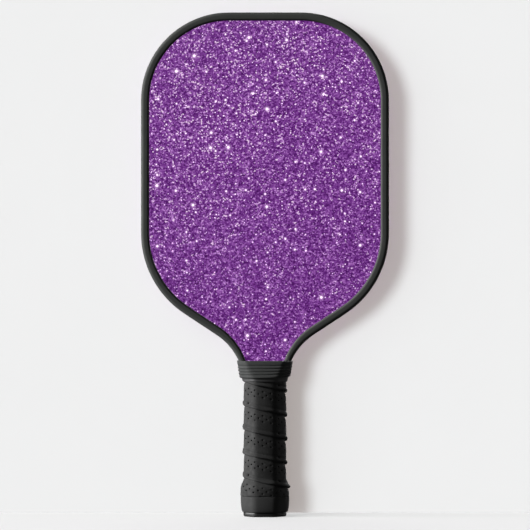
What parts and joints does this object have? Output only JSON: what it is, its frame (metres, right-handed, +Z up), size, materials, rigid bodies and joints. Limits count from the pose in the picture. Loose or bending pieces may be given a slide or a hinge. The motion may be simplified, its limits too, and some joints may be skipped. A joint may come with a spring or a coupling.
{
  "type": "pickleball paddle",
  "caption": "Hand paddle with a stiff honeycomb panel in a soft edge guard and a short wrapped octagonal handle with a rubber collar and a flared butt cap.",
  "frame": {"origin": "centre of the butt end face, which is the bottom of the base plate", "axes": "+Z up the handle to the top of the head, +X to the right across the head, -Y out of the front face"},
  "size_m": [0.2, 0.036, 0.4064],
  "materials": {
    "core_plastic": "translucent polypropylene honeycomb",
    "fibreglass": "resin-bonded woven fibreglass",
    "glitter_film": "printed purple glitter under a satin lacquer",
    "guard_rubber": "satin moulded elastomer",
    "foam_tape": "closed-cell foam tape",
    "pallet_foam": "rigid moulded foam",
    "bond_film": "double-sided adhesive film",
    "underlay_foam": "soft foam layer",
    "grip_leatherette": "matt perforated leatherette with a tacky feel",
    "finishing_tape": "matt elastic tape",
    "collar_rubber": "satin ribbed rubber",
    "cap_plastic": "fine-grained moulded plastic",
    "plate_plastic": "glossy moulded plastic",
    "fastener_steel": "zinc-plated steel"
  },
  "bodies": {
    "root": {"honeycomb_core": "core_plastic", "front_face_sheet": "fibreglass", "back_face_sheet": "fibreglass", "front_print_film": "glitter_film", "back_print_film": "glitter_film", "edge_guard": "guard_rubber", "edge_foam_tape": "foam_tape", "front_pallet": "pallet_foam", "back_pallet": "pallet_foam", "front_bond_film": "bond_film", "back_bond_film": "bond_film", "grip_underlay": "underlay_foam", "grip_tape": "grip_leatherette", "finishing_tape": "finishing_tape", "collar": "collar_rubber", "butt_cap": "cap_plastic", "base_plate": "plate_plastic", "cap_tacks": "fastener_steel", "grip_staple": "fastener_steel"}
  },
  "joints": []
}
